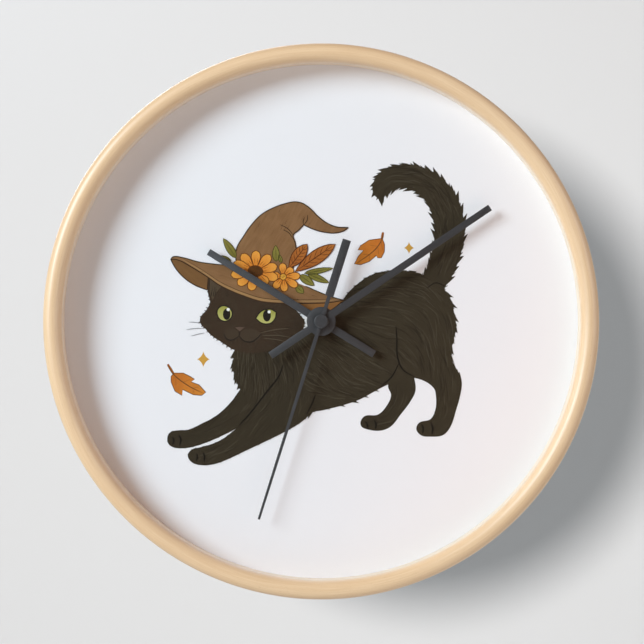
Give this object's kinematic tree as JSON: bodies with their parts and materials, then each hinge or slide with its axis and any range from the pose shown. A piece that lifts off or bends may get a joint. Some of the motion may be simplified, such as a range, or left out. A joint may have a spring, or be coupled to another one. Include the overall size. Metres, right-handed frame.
{
  "type": "wall clock",
  "caption": "Round wall clock with a pale wooden ring frame, clear front, printed animal dial, plain dark hands and a battery quartz movement behind.",
  "frame": {"origin": "centre of the hanging hole on the wall plane, 36.5 mm above the hands' axis", "axes": "+Z towards twelve o'clock, +Y out of the back into the wall, the dial faces -Y"},
  "size_m": [0.254, 0.038, 0.254],
  "materials": {
    "pale_wood": "satin",
    "rim_wood": "satin",
    "clear_acrylic": "gloss",
    "printed_paper": "matt",
    "hardboard": "matt",
    "steel": "brushed",
    "spring_steel": "bright",
    "rubber": "matt",
    "brass": "turned",
    "black_plastic": "fine texture",
    "white_plastic": "moulded",
    "natural_acetal": "moulded",
    "board_green": "lacquered",
    "chip_black": "moulded",
    "can_metal": "bright",
    "copper_wire": "enamelled",
    "magnet": "sintered",
    "battery_sleeve": "glossy printed sleeve",
    "dark_paint": "painted matt charcoal"
  },
  "bodies": {
    "clock_body": {"wood_frame": "pale_wood", "clear_front": "clear_acrylic", "spacer_ring": "rim_wood", "dial_sheet": "printed_paper", "dial_board": "hardboard", "framing_points": "steel", "hanger": "steel", "rubber_washer": "rubber", "brass_washer": "brass", "mounting_nut": "brass", "movement_case": "black_plastic", "movement_cover": "black_plastic", "cover_screws": "steel", "middle_plate": "white_plastic", "rear_plate": "white_plastic", "pillars": "white_plastic", "circuit_board": "board_green", "chip": "chip_black", "quartz_crystal": "can_metal", "stator": "steel", "coil_core": "steel", "coil_bobbin": "white_plastic", "coil_winding": "copper_wire", "stator_screws": "steel", "negative_contact": "spring_steel", "positive_contact": "spring_steel"},
    "minute": {"minute_wheel": "natural_acetal", "minute_hand": "dark_paint"},
    "seconds": {"seconds_wheel": "natural_acetal", "seconds_hand": "dark_paint", "seconds_cap": "dark_paint"},
    "hour": {"hour_wheel": "natural_acetal", "hour_hand": "dark_paint"},
    "third": {"third_wheel": "natural_acetal"},
    "intermediate": {"intermediate_wheel": "natural_acetal"},
    "rotor": {"rotor": "magnet"},
    "reversal": {"reversal_wheel": "natural_acetal"},
    "setting": {"setting_knob": "white_plastic"},
    "cell": {"battery": "battery_sleeve"}
  },
  "joints": [
    {"name": "minute_turn", "type": "hinge", "parent": "clock_body", "child": "minute", "pos_m": [0, -0.01, -0.0365], "axis": [0, 1, 0], "continuous": true},
    {"name": "seconds_turn", "type": "hinge", "parent": "clock_body", "child": "seconds", "pos_m": [0, -0.01, -0.0365], "axis": [0, 1, 0], "continuous": true},
    {"name": "hour_turn", "type": "hinge", "parent": "clock_body", "child": "hour", "pos_m": [0, -0.01, -0.0365], "axis": [0, 1, 0], "continuous": true},
    {"name": "third_turn", "type": "hinge", "parent": "clock_body", "child": "third", "pos_m": [0.00863, -0.01, -0.03336], "axis": [0, 1, 0], "continuous": true},
    {"name": "intermediate_turn", "type": "hinge", "parent": "clock_body", "child": "intermediate", "pos_m": [-0.00413, -0.01, -0.0306], "axis": [0, 1, 0], "continuous": true},
    {"name": "rotor_turn", "type": "hinge", "parent": "clock_body", "child": "rotor", "pos_m": [-0.01019, -0.01, -0.0271], "axis": [0, 1, 0], "continuous": true},
    {"name": "reversal_turn", "type": "hinge", "parent": "clock_body", "child": "reversal", "pos_m": [-0.00869, -0.01, -0.03883], "axis": [0, 1, 0], "continuous": true},
    {"name": "setting_turn", "type": "hinge", "parent": "clock_body", "child": "setting", "pos_m": [-0.01766, -0.01, -0.03804], "axis": [0, 1, 0], "continuous": true},
    {"name": "cell_slide", "type": "slide", "parent": "clock_body", "child": "cell", "axis": [0, 1, 0], "range_m": [0, 0.03]}
  ],
  "couplings": [
    {"joint": "seconds_turn", "follows": "minute_turn", "ratio": 60},
    {"joint": "hour_turn", "follows": "minute_turn", "ratio": 0.083333},
    {"joint": "third_turn", "follows": "minute_turn", "ratio": -8},
    {"joint": "intermediate_turn", "follows": "minute_turn", "ratio": -300},
    {"joint": "rotor_turn", "follows": "minute_turn", "ratio": 1800},
    {"joint": "reversal_turn", "follows": "minute_turn", "ratio": -0.33333},
    {"joint": "setting_turn", "follows": "minute_turn", "ratio": 1}
  ]
}
